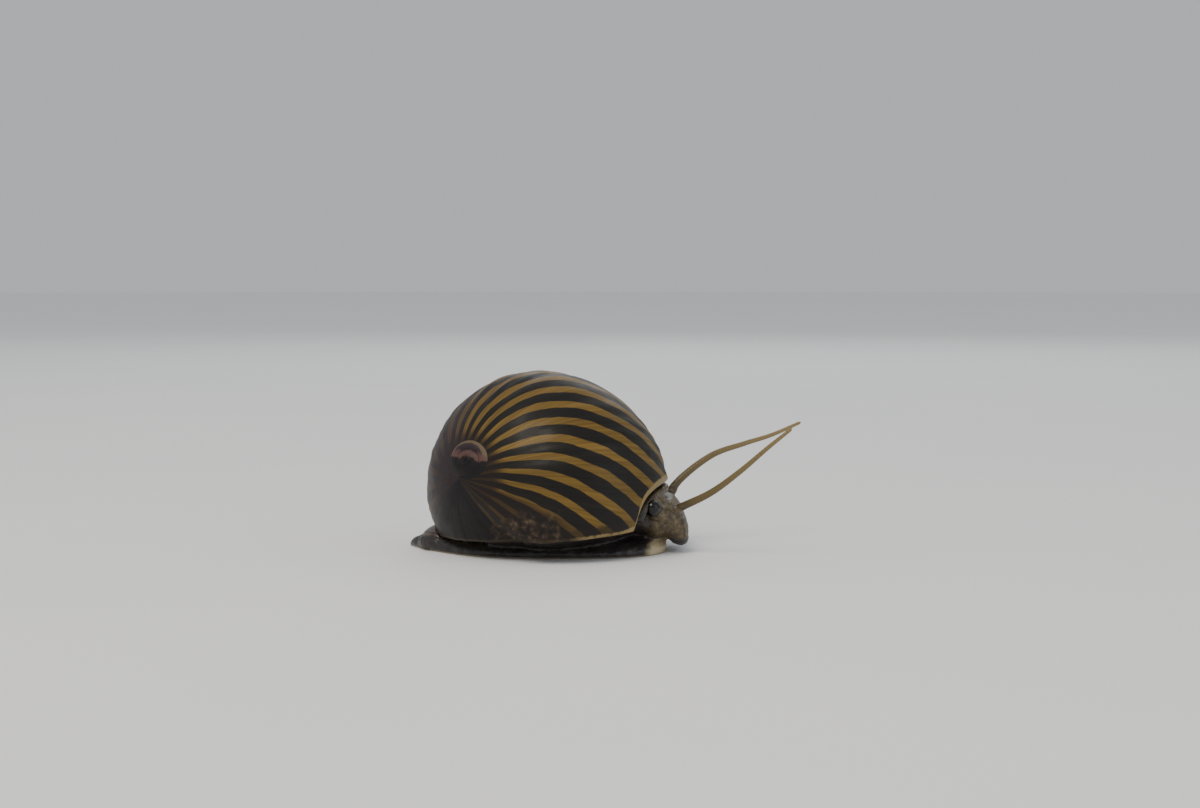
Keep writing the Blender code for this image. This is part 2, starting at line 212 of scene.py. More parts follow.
FLESH_NODES = ["trunk", "foot_tail", "foot_middle", "foot_front", "neck", "head", "snout",
               "mantle_edge", "eye_stalk_right", "eye_stalk_left",
               *(f"tentacle_{side}_{part}" for side in ("right", "left")
                 for part in ("base", "middle", "tip"))]

# Camera: four degrees above the floor, at 12.5 photo pixels a millimetre.
CAMERA_RISE = math.radians(4.0)
CAMERA_DISTANCE = 160.0
CAMERA_AIM = (4.4, 11.57)
CAMERA_LENS = 60.0
CAMERA_SENSOR = 36.0

# Lights: place, size, power and colour of each softbox, in metres and watts.
SOFTBOXES = {"key": ((-0.12, -0.22, 0.34), 0.22, 0.95, "#fff6ea"),
             "fill": ((0.35, -0.18, 0.15), 0.30, 0.22, "#eaf1ff"),
             "back": ((0.05, 0.35, 0.25), 0.25, 0.25, "#ffffff")}
LIGHT_AIM = Vector((0.003, 0, 0.006))
SKY_STRENGTH = 0.78

# Settings of a mix of two colours, and of a soft edge.
MIX = {"out": 2, "data_type": "RGBA"}
SOFT = {"interpolation_type": "SMOOTHSTEP"}


def smooth_step(start, end, value):
    """A soft step from 0 at the start to 1 at the end."""
    share = np.clip((value - start) / (end - start), 0, 1)
    return share * share * (3 - 2 * share)


def unit(vector):
    """A direction of length one."""
    return vector / np.linalg.norm(vector)


def angles_round(count):
    """Angles evenly spaced round a circle."""
    return np.linspace(0, TWO_PI, count, endpoint=False)


def squared(value, power):
    """Squares off a sine or cosine of a round section, and keeps its sign."""
    return math.copysign(abs(value) ** power, value)


def along(rows, share):
    """A smooth curve through rows of numbers, read at a share from 0 to 1."""
    place = share * (len(rows) - 1)
    i = min(int(place), len(rows) - 2)
    t = place - i
    a, b, c, d = (np.array(rows[max(0, min(len(rows) - 1, i + k))]) for k in (-1, 0, 1, 2))
    square, cube = 2 * a - 5 * b + 4 * c - d, 3 * b - a - 3 * c + d
    return 0.5 * (2 * b + (c - a) * t + square * t ** 2 + cube * t ** 3)


def whorl_size(turn):
    """How far the whorl has grown at a growth angle, drawn in where the lip closes on the coil."""
    one_turn = 1 - math.exp(-TWO_PI * GROWTH)
    closing = one_turn * smooth_step(LIP_TURN - LIP_CLOSE, LIP_TURN, turn)
    return np.exp(GROWTH * (turn - math.pi / 2)) * (1 - closing)


def whorl_slice(size, rise):
    """Place along the axis and distance from it, for a latitude given by its sine."""
    size = size + (BASE_SIZE - size) * smooth_step(-BASE_BLEND, -1.0, rise)
    depth = np.where(rise > 0, APEX_DEPTH, BASE_DEPTH)
    radius = WHORL_RADIUS * np.clip(1 - rise ** 2, 0, None) ** (OVAL_POWER / 2)
    return size * (depth * rise - APEX_DEPTH), size * radius


def read_whorl(points):
    """Growth angle, sine of the latitude, and distance outside the whorl, of each point."""
    offset = points - APEX
    level, up, near = offset @ AXIS, offset @ UP, offset @ NEAR
    turn = np.arctan2(near, up)
    turn = np.where(turn > LIP_TURN, turn - TWO_PI, turn)
    size = whorl_size(turn)
    low, high = np.full(turn.shape, -1.2), np.full(turn.shape, 1.0)
    for _ in range(HALVINGS):
        rise = (low + high) / 2
        below = whorl_slice(size, rise)[0] < level
        low, high = np.where(below, rise, low), np.where(below, high, rise)
    return turn, rise, np.hypot(up, near) - whorl_slice(size, rise)[1]


def leave_whorl(start, direction):
    """Points where rays from inside the whorl come out of it."""
    inner, outer = np.zeros(direction.shape[:-1]), np.full(direction.shape[:-1], SHELL_REACH)
    for _ in range(HALVINGS):
        middle = (inner + outer) / 2
        outside = read_whorl(start + middle[..., None] * direction)[2] > 0
        inner, outer = np.where(outside, inner, middle), np.where(outside, middle, outer)
    return start + middle[..., None] * direction


def aim(azimuth, rise):
    """Directions at angles round the middle of the shell and above the floor."""
    flat = np.cos(rise)
    return np.stack([flat * np.cos(azimuth), flat * np.sin(azimuth), np.sin(rise)], -1)


def flat_rim(points):
    """Height of the rim's plane over each point."""
    slope = points[..., 0] * math.tan(RIM_SLOPE)
    return RIM_LEVEL + slope + points[..., 1] * math.tan(RIM_ROLL) / math.cos(RIM_SLOPE)


def arch(y, inset=0.0):
    """Height of the arch over the head at a place across it, or of a smaller arch inside it."""
    side = np.clip(np.abs(y - MIDLINE) / (ARCH_HALF - inset), 0, 1)
    return RIM_LEVEL + (ARCH_TOP - inset - RIM_LEVEL) * (1 - side ** ARCH_POWER) ** (1 / ARCH_POWER)


def rim_height(points):
    """Height of the rim over each point: the plane, or the arch ahead of its start."""
    over_head = np.where(points[..., 0] > ARCH_START, arch(points[..., 1]), 0)
    return np.maximum(flat_rim(points), over_head)


def new_object(name, data):
    """An object in the scene for a mesh, a light or a camera."""
    made = bpy.data.objects.new(name, data)
    bpy.context.scene.collection.objects.link(made)
    return made


def mesh_object(name, points, faces, merge=0.0):
    """An object from points and faces, with its faces turned outwards, and doubles merged if asked."""
    mesh = bpy.data.meshes.new(name)
    mesh.from_pydata(points.tolist(), [], faces)
    shape = bmesh.new()
    shape.from_mesh(mesh)
    if merge:
        bmesh.ops.remove_doubles(shape, verts=shape.verts, dist=merge)
    bmesh.ops.recalc_face_normals(shape, faces=shape.faces)
    shape.to_mesh(mesh)
    shape.free()
    return new_object(name, mesh)


def ring_faces(rings, count):
    """Four-sided faces between rings of equal count, and a closing face at each end."""
    faces = []
    for i in range(rings - 1):
        for j in range(count):
            k = (j + 1) % count
            faces.append((i * count + j, i * count + k, (i + 1) * count + k, (i + 1) * count + j))
    faces.append(tuple(range(count)))
    faces.append(tuple(range((rings - 1) * count, rings * count)))
    return faces


def loft(name, rings):
    """A closed object through rings of equal count."""
    points = np.concatenate([np.asarray(ring, float) for ring in rings])
    return mesh_object(name, points, ring_faces(len(rings), len(rings[0])), MERGE)


def points_of(made):
    """The places of an object's points."""
    flat = np.empty(len(made.data.vertices) * 3)
    made.data.vertices.foreach_get("co", flat)
    return flat.reshape(-1, 3)


def move_points(made, points):
    """Puts an object's points at new places."""
    made.data.vertices.foreach_set("co", np.ascontiguousarray(points, dtype=np.float32).ravel())
    made.data.update()


def mark(made, name, values):
    """Stores one number at each point, for a material or a tree of nodes to read."""
    layer = made.data.attributes.new(name, "FLOAT", "POINT")
    layer.data.foreach_set("value", np.ascontiguousarray(values, dtype=np.float32))


def evaluated(made):
    """Turns an object's modifiers into its mesh."""
    graph = bpy.context.evaluated_depsgraph_get()
    mesh = bpy.data.meshes.new_from_object(made.evaluated_get(graph))
    made.modifiers.clear()
    made.data = mesh
    return made


def add_node(tree, kind, *values, out=0, stops=(), **named):
    """Adds one node with its settings and links, and gives back one of its outputs."""
    # Names with a capital are inputs and the others are settings. A shader node goes by its name
    # without ShaderNode in front, an operation follows a dot, and a colour is its hex text.
    kind, _, operation = kind.partition(".")
    made = tree.nodes.new(kind if kind.startswith("Geometry") else "ShaderNode" + kind)
    if operation:
        made.operation = operation
    for key in [key for key in named if key[0].islower()]:
        setattr(made, key, named.pop(key))
    sockets = {socket.name: socket for socket in reversed(made.inputs) if socket.enabled}
    given = list(zip(made.inputs, values))
    for socket, value in given + [(sockets[key.replace("_", " ")], named[key]) for key in named]:
        if isinstance(value, bpy.types.NodeSocket):
            tree.links.new(value, socket)
        else:
            socket.default_value = linear(value) if str(value).startswith("#") else value
    for i, (place, colour) in enumerate(stops):
        stop = made.color_ramp.elements[i] if i < 2 else made.color_ramp.elements.new(place)
        stop.position = place
        stop.color = linear(colour)
    return made.outputs[out]


def linear(hex_colour):
    """An sRGB hex colour as linear red, green, blue and alpha."""
    channels = [int(hex_colour[i:i + 2], 16) / 255 for i in (1, 3, 5)]
    return [*(c / 12.92 if c <= 0.04045 else ((c + 0.055) / 1.055) ** 2.4 for c in channels), 1.0]


def new_finish(name, **sockets):
    """A material with its shader's sockets set, a way to add nodes, and places in millimetres."""
    made = bpy.data.materials.new(name)
    made.use_nodes = True
    add = partial(add_node, made.node_tree)
    for socket, value in sockets.items():
        made.node_tree.nodes["Principled BSDF"].inputs[socket.replace("_", " ")].default_value = value
    place = add("TexCoord", out="Object")
    return made, add, add("VectorMath.SCALE", place, Scale=1 / MM)


def wire(made, **outputs):
    """Links outputs of nodes to the sockets of a material's shader."""
    tree = made.node_tree
    for socket, output in outputs.items():
        tree.links.new(output, tree.nodes["Principled BSDF"].inputs[socket.replace("_", " ")])
    return made


def read_marks(add, *names):
    """The numbers stored at each point under some names."""
    return [add("Attribute", out="Fac", attribute_name=name) for name in names]


def geometry_tree(name, inputs):
    """An empty tree of geometry nodes with named inputs, a way to add nodes, and what comes in."""
    tree = bpy.data.node_groups.new(name, "GeometryNodeTree")
    tree.interface.new_socket("Geometry", in_out="INPUT", socket_type="NodeSocketGeometry")
    for label in inputs:
        tree.interface.new_socket(label, in_out="INPUT", socket_type="NodeSocketFloat")
    tree.interface.new_socket("Geometry", in_out="OUTPUT", socket_type="NodeSocketGeometry")
    return tree, partial(add_node, tree), tree.nodes.new("NodeGroupInput").outputs


def end_tree(tree, geometry, material):
    """Makes real what a tree repeats, gives it its material and sends it out."""
    real = add_node(tree, "GeometryNodeRealizeInstances", geometry)
    painted = add_node(tree, "GeometryNodeSetMaterial", real, Material=material)
    tree.links.new(painted, tree.nodes.new("NodeGroupOutput").inputs[0])
    return tree


def run_tree(made, tree, inputs):
    """Runs a tree on an object with its named inputs set, and keeps the mesh that comes out."""
    step = made.modifiers.new(tree.name, "NODES")
    step.node_group = tree
    for item in tree.interface.items_tree:
        if item.in_out == "INPUT" and item.name in inputs:
            step[item.identifier] = inputs[item.name]
    return evaluated(made)


def publish(made, material, nodes):
    """Brings a finished piece to metres, gives it its finish and puts it in the frame."""
    made.data.transform(Matrix.Scale(MM, 4))
    made.data.materials.clear()
    made.data.materials.append(material)
    made.data.shade_smooth()
    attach(made, "root")
    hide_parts(*nodes)


# Materials.


def striped_aragonite():
    """Shell of aragonite under a thin clear skin: a soft wet gloss, ochre and green-black bands."""
    made, add, place = new_finish("striped_aragonite_shell", IOR=1.5, Specular_IOR_Level=0.22,
                                  Coat_Weight=0.08, Coat_Roughness=0.15)
    from_apex = add("VectorMath.SUBTRACT", place, APEX)
    near, up = (add("VectorMath.DOT_PRODUCT", from_apex, way, out="Value")
                for way in (NEAR, UP))
    angle = add("Math.ARCTAN2", near, up)
    past_lip = add("Math.GREATER_THAN", angle, LIP_TURN)
    turn = add("Math.MULTIPLY_ADD", past_lip, -TWO_PI, angle)
    rise, rim, inside = read_marks(add, "latitude", "from_rim", "inside")

    # Growth phase: stripe centres fall on whole numbers of it, and a slow noise makes them waver.
    lean = add("Math.MULTIPLY_ADD", rise, STRIPE_LEAN, turn)
    square = add("Math.MULTIPLY", rise, rise)
    bent = add("Math.MULTIPLY_ADD", square, STRIPE_BEND, lean)
    waver = add("TexNoise", place, Scale=0.35, Detail=2.0)
    phase = add("Math.MULTIPLY_ADD", waver, 0.06, bent)
    phase = add("Math.SUBTRACT", phase, 0.03)
    slope = add("Math.MULTIPLY_ADD", phase, STRIPE_COUNT[0], STRIPE_COUNT[1])
    count = add("Math.MULTIPLY_ADD", phase, slope, STRIPE_COUNT[2])
    circle = add("Math.MULTIPLY", count, TWO_PI)
    wave = add("Math.COSINE", circle)

    # Ochre stripes are half the pitch at the top of the shell and a third of it near the rim.
    ragged = add("TexNoise", place, Scale=2.2, Detail=4.0)
    width = add("MapRange", turn, From_Min=-0.2, From_Max=1.9, To_Min=0.05, To_Max=0.40)
    edge = add("Math.MULTIPLY_ADD", ragged, 0.16, width)
    edge = add("Math.SUBTRACT", edge, 0.08)
    over = add("Math.SUBTRACT", wave, edge)
    stripe = add("MapRange", over, From_Min=-0.13, From_Max=0.16, **SOFT)

    # Growth lines run beside the lip, from pole to pole: 0.2 mm apart at the widest of the whorl.
    line_place = add("CombineXYZ", turn, rise)
    line_scale = add("VectorMath.MULTIPLY", line_place, LINE_SCALE)
    lines = add("TexNoise", line_scale, Scale=1.0, Detail=3.0)
    broad = add("VectorMath.MULTIPLY", line_place, BAND_SCALE)
    bands = add("TexNoise", broad, Scale=1.0, Detail=2.0)

    ochre = add("ValToRGB", lines, stops=[(0.25, "#594319"), (0.75, "#80652b")])
    black = add("ValToRGB", lines, stops=[(0.3, "#0f0d0a"), (0.8, "#1e1a13")])
    banded = add("Mix", stripe, A=black, B=ochre, **MIX)
    tone = add("MapRange", bands, From_Min=0.3, From_Max=0.7, To_Min=0.78, To_Max=1.12)
    toned = add("VectorMath.SCALE", banded, Scale=tone)

    # Low on the near side the stripes turn faint and brown, and round the spire and base they die out.
    late = add("MapRange", phase, From_Min=2.03, From_Max=2.24, To_Max=0.78, **SOFT)
    near_apex = add("MapRange", rise, From_Min=0.90, From_Max=0.958, To_Max=0.9, **SOFT)
    near_base = add("MapRange", rise, From_Min=-0.72, From_Max=-0.95, To_Max=0.9, **SOFT)
    dim = add("Math.MAXIMUM", late, near_apex)
    dim = add("Math.MAXIMUM", dim, near_base)

    # Along the near rim they end about 0.8 mm above the lip.
    ahead = add("SeparateXYZ", place, out="X")
    low = add("Math.MULTIPLY_ADD", ragged, 0.5, rim)
    low = add("MapRange", low, From_Min=1.25, From_Max=0.75, To_Max=0.75, **SOFT)
    beside = add("MapRange", ahead, From_Min=7.2, From_Max=5.8, **SOFT)
    low = add("Math.MULTIPLY", low, beside)
    near_side = add("Math.GREATER_THAN", turn, 0.8)
    low = add("Math.MULTIPLY", low, near_side)
    dim = add("Math.MAXIMUM", dim, low)
    toned = add("Mix", dim, A=toned, B="#1d1512", **MIX)

    # Behind the spire the stripes sink into purplish brown, and under it into near black, which is
    # painted shade on the older whorl.
    old = add("MapRange", turn, From_Min=0.2, From_Max=-0.8, To_Min=0.0, To_Max=0.85, **SOFT)
    apex_side = add("MapRange", rise, From_Min=0.0, From_Max=0.55, To_Min=0.3, **SOFT)
    old = add("Math.MULTIPLY", old, apex_side)
    faded = add("Mix", old, A=toned, B="#2b2024", **MIX)
    cloud = add("TexNoise", place, Scale=0.9, Detail=5.0)
    # Painted shade: under the spire the whorl turns near black, with faint growth lines.
    painted_shade_edge = add("Math.MULTIPLY_ADD", cloud, 0.9, turn)
    painted_shade = add("MapRange", painted_shade_edge, From_Min=-1.45, From_Max=-2.2, **SOFT)
    painted_shade_colour = add("ValToRGB", lines, stops=[(0.35, "#0a090a"), (0.7, "#191415")])
    with_painted_shade = add("Mix", painted_shade, A=faded, B=painted_shade_colour, **MIX)

    # A patch low on the near side, brown and mottled.
    patch_offset = add("VectorMath.SUBTRACT", place, PATCH_PLACE)
    patch_shape = add("VectorMath.MULTIPLY", patch_offset, PATCH_SCALE)
    patch_far = add("VectorMath.LENGTH", patch_shape, out="Value")
    patch_edge = add("Math.MULTIPLY_ADD", cloud, 1.5, patch_far)
    patch = add("MapRange", patch_edge, From_Min=1.75, From_Max=1.25, **SOFT)
    patch_browns = add("ValToRGB", ragged, stops=[(0.38, "#1a1511"), (0.55, "#342920"), (0.72, "#5c4d3c")])
    patched = add("Mix", patch, A=with_painted_shade, B=patch_browns, **MIX)

    # The lip is pale tan at its very edge, and the inner wall is cream porcelain.
    wider = add("MapRange", ahead, From_Min=6.2, From_Max=7.6, To_Max=0.26)
    lip_edge = add("Math.MULTIPLY_ADD", ragged, 0.30, rim)
    lip_edge = add("Math.SUBTRACT", lip_edge, wider)
    lip = add("MapRange", lip_edge, From_Min=0.29, From_Max=0.11, **SOFT)
    front = add("MapRange", ahead, From_Min=1.8, From_Max=4.0, To_Min=0.10, **SOFT)
    lip = add("Math.MULTIPLY", lip, front)
    lipped = add("Mix", lip, A=patched, B="#8d7a50", **MIX)
    inner = add("Mix", inside, A=lipped, B="#cdbf9c", **MIX)

    dull = add("MapRange", cloud, From_Min=0.3, From_Max=0.75, To_Min=0.42, To_Max=0.58)
    rough = add("Math.MULTIPLY_ADD", patch, 0.15, dull)

    # Relief: growth lines 0.02 mm deep, and fine pits from wear.
    pits = add("TexNoise", place, Scale=7.0, Detail=3.0)
    relief = add("Math.MULTIPLY_ADD", pits, 0.35, lines)
    bump = add("Bump", Height=relief, Strength=0.55, Distance=0.03 * MM)
    return wire(made, Base_Color=inner, Roughness=rough, Normal=bump)


def eroded_spire():
    """The oldest whorls, worn down to chalky shell: a tan arc over dark purple, pink and black; the
    black on the lower side is painted shade, and the arc is kept to the upper side.
    """
    made, add, place = new_finish("eroded_chalky_spire", IOR=1.5, Specular_IOR_Level=0.3)
    groove, share, lift = read_marks(add, "groove", "share", "lift")
    cloud = add("TexNoise", place, Scale=1.2, Detail=5.0, Roughness=0.6)
    grain = add("TexNoise", place, Scale=6.0, Detail=4.0)
    stirred = add("Math.MULTIPLY_ADD", cloud, 0.35, lift)
    # The colours run with lift, from the lower side of the knob to the upper: the near black on the
    # lower side is painted shade, the pink and purple are the worn shell's own.
    height = add("ValToRGB", stirred, stops=[
        (0.60, "#0f0b0d"), (0.68, "#171012"), (0.73, "#5c423c"), (0.81, "#4f3637"), (0.87, "#281c22"),
        (1.0, "#33252a")])
    out_edge = add("Math.MULTIPLY_ADD", grain, 0.14, share)
    arc = add("MapRange", out_edge, From_Min=0.70, From_Max=0.80, **SOFT)
    # The tan arc shows on the upper side only; on the lower side it is left in painted shade.
    lit_upper_side = add("MapRange", lift, From_Min=0.52, From_Max=0.68, **SOFT)
    arc = add("Math.MULTIPLY", arc, lit_upper_side)
    chalk = add("Mix", arc, A=height, B="#63543f", **MIX)
    worn = add("Mix", groove, A=chalk, B="#151012", **MIX)
    rough = add("MapRange", grain, To_Min=0.45, To_Max=0.75)
    bump = add("Bump", Height=grain, Strength=0.6, Distance=0.06 * MM)
    return wire(made, Base_Color=worn, Roughness=rough, Normal=bump)


def porcelain_callus():
    """The smooth shelf in the mouth: glossy cream porcelain with faint olive clouds."""
    made, add, place = new_finish("porcelain_callus", IOR=1.53, Roughness=0.2, Coat_Weight=0.3)
    cloud = add("TexNoise", place, Scale=0.35, Detail=4.0)
    cream = add("ValToRGB", cloud, stops=[(0.35, "#a39a6c"), (0.6, "#d9cfb2")])
    return wire(made, Base_Color=cream)


def limy_lid():
    """The lid: satin lime under a dark horny skin, with fine growth lines that follow its edge."""
    made, add, place = new_finish("limy_operculum", IOR=1.5, Coat_Weight=0.3, Coat_Roughness=0.2)
    rim, = read_marks(add, "ring")
    line_place = add("Math.MULTIPLY", rim, 16.0)
    lines = add("TexNoise", W=line_place, Scale=1.0, Detail=3.0, noise_dimensions="1D")
    cloud = add("TexNoise", place, Scale=1.4, Detail=4.0)
    mixed = add("Math.MULTIPLY_ADD", lines, 0.6, cloud)
    horn = add("ValToRGB", mixed, stops=[(0.62, "#1d1613"), (0.95, "#57463a")])
    rough = add("MapRange", cloud, To_Min=0.28, To_Max=0.5)
    bump = add("Bump", Height=lines, Strength=0.5, Distance=0.03 * MM)
    return wire(made, Base_Color=horn, Roughness=rough, Normal=bump)


def wet_skin():
    """Slimy black skin: a sharp wet shine over mottled brown-black, cream lips, olive feelers."""
    made, add, place = new_finish("wet_black_skin", IOR=1.4, Coat_Weight=0.18, Coat_Roughness=0.22,
                                  Subsurface_Weight=0.08, Subsurface_Scale=0.4 * MM)
    feeler, run, pale, face = read_marks(add, "feeler", "feeler_run", "pale", "face")
    cloud = add("TexNoise", place, Scale=0.9, Detail=5.0)
    fleck = add("TexNoise", place, Scale=2.6, Detail=4.0, Roughness=0.6)
    dark = add("ValToRGB", cloud, stops=[(0.35, "#231f1e"), (0.55, "#2f2a29"), (0.75, "#403836")])

    # The face and neck are olive brown with tan mottles and dark strokes; the foot is plain.
    mottle = add("ValToRGB", fleck, stops=[
        (0.34, "#2c2519"), (0.46, "#4a3f2b"), (0.58, "#615336"), (0.74, "#857450")])
    face_mask = add("Math.MULTIPLY", face, 0.9)
    tan = add("Mix", face_mask, A=dark, B=mottle, **MIX)

    cream_level = add("Math.MULTIPLY_ADD", fleck, 0.5, pale)
    cream_mask = add("MapRange", cream_level, From_Min=0.55, From_Max=1.2, **SOFT)
    cream = add("Mix", cream_mask, A=tan, B="#b3a482", **MIX)

    # Feelers: olive ochre, paler towards the tip, with faint dark rings 0.3 mm apart.
    ring_place = add("Math.MULTIPLY", run, TWO_PI / FEELER_RING)
    ring_wave = add("Math.SINE", ring_place)
    ring_level = add("Math.MULTIPLY_ADD", cloud, 1.2, ring_wave)
    ring = add("MapRange", ring_level, From_Min=0.6, From_Max=1.8, To_Max=0.22, **SOFT)
    paler = add("MapRange", run, From_Min=1.0, From_Max=13.0)
    ochre = add("Mix", paler, A="#5b4d2a", B="#8a774c", **MIX)
    olive = add("Mix", ring, A=ochre, B="#3b2f18", **MIX)
    with_feelers = add("Mix", feeler, A=cream, B=olive, **MIX)

    # The sole underneath is pale grey cream.
    height = add("SeparateXYZ", place, out="Z")
    sole = add("MapRange", height, From_Min=0.16, From_Max=0.04)
    whole = add("Mix", sole, A=with_feelers, B="#8d8270", **MIX)

    rough = add("MapRange", fleck, From_Min=0.3, From_Max=0.7, To_Min=0.34, To_Max=0.50)
    pores = add("TexVoronoi", place, Scale=5.0, feature="SMOOTH_F1")
    relief = add("Math.MULTIPLY_ADD", fleck, 0.6, pores)
    bump = add("Bump", Height=relief, Strength=0.35, Distance=0.04 * MM)
    return wire(made, Base_Color=whole, Roughness=rough, Normal=bump)


def glossy_eye():
    """A clear lens over black: the sharpest shine on the animal, with faint brown clouds."""
    made, add, place = new_finish("glossy_black_eye", Roughness=0.10, IOR=1.38, Coat_Weight=0.25,
                                  Coat_Roughness=0.03)
    cloud = add("TexNoise", place, Scale=3.0, Detail=2.0)
    black = add("ValToRGB", cloud, stops=[(0.4, "#050506"), (0.8, "#120d0b")])
    return wire(made, Base_Color=black)


# Shell.


def shell_fan():
    """The outer face of the shell as a grid of points, from the rim up to the top."""
    azimuth = angles_round(SHELL_AROUND)
    low, high = np.full(azimuth.shape, LOWEST_RAY), np.full(azimuth.shape, 1.0)

    def out(rise):
        return leave_whorl(SHELL_MIDDLE, aim(azimuth, rise))

    for _ in range(HALVINGS):
        rise = (low + high) / 2
        points = out(rise)
        above = points[..., 2] > rim_height(points) + RIM_LIFT
        low, high = np.where(above, low, rise), np.where(above, rise, high)
    rows = [out(rise + (math.pi / 2 - rise) * k / SHELL_ROWS) for k in range(SHELL_ROWS + 1)]
    return np.stack(rows)


def grid_normals(grid):
    """Outward directions of a grid whose second index goes round."""
    round_step = np.roll(grid, -1, axis=1) - np.roll(grid, 1, axis=1)
    row_step = np.gradient(grid, axis=0)
    normals = np.cross(round_step, row_step)
    normals[-1] = (0, 0, 1)
    return normals / np.linalg.norm(normals, axis=-1, keepdims=True)


def growth_relief(turn, rise):
    """Low ridges left by pauses in growth, which die out at the apex and where the lip closes."""
    ridges = sum(depth * np.sin(count * turn + waver * np.sin(rate * turn))
                 for depth, count, waver, rate in (COARSE_RIDGES, FINE_RIDGES))
    dents = DENT_DEPTH * np.sin(2.3 * turn + 3.1 * rise) * np.sin(5.0 * rise + 1.7 * turn)
    start = LIP_TURN - TWO_PI
    fade = smooth_step(1.0, 0.6, rise) * smooth_step(LIP_TURN, LIP_TURN - RELIEF_FADE, turn)
    return (ridges + dents) * fade * smooth_step(start, start + RELIEF_FADE, turn)


def body_whorl(material):
    """The last whorl: outer face, rounded lip and inner wall in one closed mesh."""
    outer = shell_fan()
    turn, rise, _ = read_whorl(outer)
    normals = grid_normals(outer)
    outer = outer + growth_relief(turn, rise)[..., None] * normals
    step = np.linalg.norm(np.diff(outer, axis=0), axis=-1)
    from_rim = np.concatenate([np.zeros((1, SHELL_AROUND)), np.cumsum(step, axis=0)])
    inner = outer - normals * WALL
    middle = (outer[0] + inner[0]) / 2
    down = outer[0] - outer[1]
    down /= np.linalg.norm(down, axis=-1, keepdims=True)
    lip = [middle + WALL / 2 * (math.cos(a) * normals[0] + math.sin(a) * down)
           for a in (math.pi * i / LIP_STEPS for i in range(1, LIP_STEPS))]
    grid = np.concatenate([outer[::-1], lip, inner])
    inner_mark = np.concatenate([np.zeros(outer.shape[:2]), np.zeros((len(lip), SHELL_AROUND)),
                                 smooth_step(0.3, 1.0, from_rim)])
    rim_mark = np.concatenate([from_rim[::-1], np.zeros((len(lip), SHELL_AROUND)), from_rim])
    rise_mark = np.concatenate([rise[::-1], np.repeat(rise[:1], len(lip), axis=0), rise])
    marks = {"latitude": rise_mark, "from_rim": rim_mark, "inside": inner_mark}
    made = loft_grid("striped_shell", grid, marks)
    publish(made, material, ["shell_body_whorl"])


def loft_grid(name, grid, marks):
    """A closed object from rows of points that start and end in a pole, with numbers on its points."""
    rows, count = grid.shape[:2]
    points = np.concatenate([grid[0].mean(0)[None], grid[1:-1].reshape(-1, 3), grid[-1].mean(0)[None]])
    last = len(points) - 1
    faces = []
    for j in range(count):
        k = (j + 1) % count
        faces.append((0, 1 + k, 1 + j))
        for i in range(rows - 3):
            a, b = 1 + i * count, 1 + (i + 1) * count
            faces.append((a + j, a + k, b + k, b + j))
        faces.append((last - count + j, last - count + k, last))
    made = mesh_object(name, points, faces)
    for label, values in marks.items():
        ends = values[[0, -1]].mean(1)
        mark(made, label, np.concatenate([ends[:1], values[1:-1].ravel(), ends[1:]]))
    return made


def spire(material):
    """The old whorls: a low coiled knob, with a groove between its whorls."""
    base = leave_whorl(SHELL_MIDDLE, unit(SPIRE_PLACE - SHELL_MIDDLE)[None])[0]
    up = unit(base - SHELL_MIDDLE + SPIRE_LEAN * AXIS)
    right = unit(np.cross(-up, (0, 0, 1)))
    over = np.cross(right, -up)
    rings, count = SPIRE_GRID
    angle = angles_round(count)
    share = np.linspace(0, 1, rings)[:, None] + 0 * angle
    winding = np.log(np.maximum(share, 0.02)) / math.log(SPIRE_RATIO) + angle / TWO_PI
    between = winding % 1.0
    full = (4 * between * (1 - between)) ** 0.5
    height = SPIRE_HEIGHT * (1 - share ** 2.2) - SPIRE_SUNK
    height -= SPIRE_GROOVE * (1 - full) * smooth_step(1.0, 0.8, share)
    out = SPIRE_RADIUS * share
    ray = np.cos(angle)[:, None] * over + SPIRE_WIDER * np.sin(angle)[:, None] * right
    flat = base + out[..., None] * ray
    toward = flat - SHELL_MIDDLE
    seat = leave_whorl(SHELL_MIDDLE, toward / np.linalg.norm(toward, axis=-1, keepdims=True))
    grid = seat + height[..., None] * up
    bottom = seat[::-1] - SPIRE_ROOT * up
    groove = 0.8 * smooth_step(0.5, 0.15, full)
    groove *= smooth_step(0.97, 0.85, share) * smooth_step(0.15, 0.3, share)
    # lift is 0 on the lower side of the knob and 1 on its upper side; the spire's finish paints shade
    # on the lower side by it.
    lift = 0.5 + 0.5 * share * np.cos(angle)
    marks = {"groove": groove, "share": share, "lift": lift}
    marks = {key: np.concatenate([values, values[::-1]]) for key, values in marks.items()}
    made = loft_grid("worn_spire", np.concatenate([grid, bottom]), marks)
    publish(made, material, ["shell_spire"])


def plate_rows(rings):
    """How far out and how far up each row of a thin plate with a rounded edge lies, top row first."""
    leans = [math.pi * (i + 0.5) / (2 * rings) for i in range(2 * rings)]
    out, up = PLATE_ROUND
    return [(math.sin(lean) ** out, squared(math.cos(lean), up)) for lean in leans]


